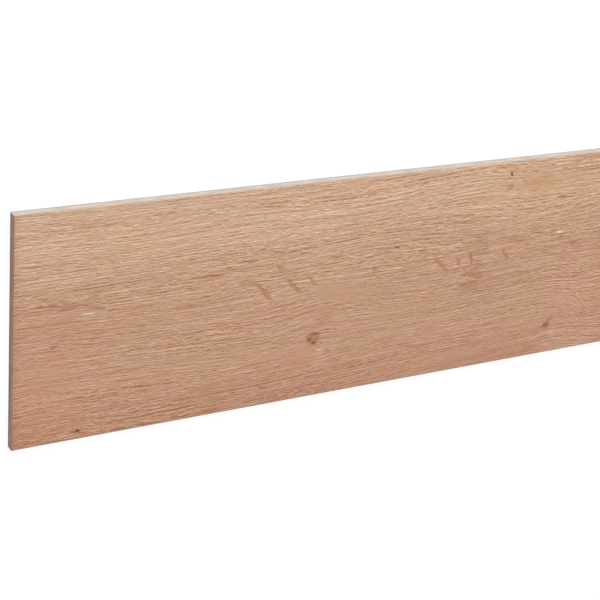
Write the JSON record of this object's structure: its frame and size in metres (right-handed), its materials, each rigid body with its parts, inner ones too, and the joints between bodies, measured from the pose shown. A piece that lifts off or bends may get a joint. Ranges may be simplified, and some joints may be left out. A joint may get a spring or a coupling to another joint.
{
  "type": "stair riser board",
  "caption": "Long flat rectangular board with an oak-grain decor face and a fine bevel round it, cut to length and fixed against the upright face of a stair step.",
  "frame": {"origin": "middle of the board's back face, which lies on the floor", "axes": "+X along the board's length, +Y along its height, towards the edge that is uppermost on a stair, +Z out of the decor face"},
  "size_m": [1.3, 0.2, 0.008],
  "materials": {
    "oak_decor_board": "matte"
  },
  "bodies": {
    "root": {"riser_board": "oak_decor_board"}
  },
  "joints": []
}
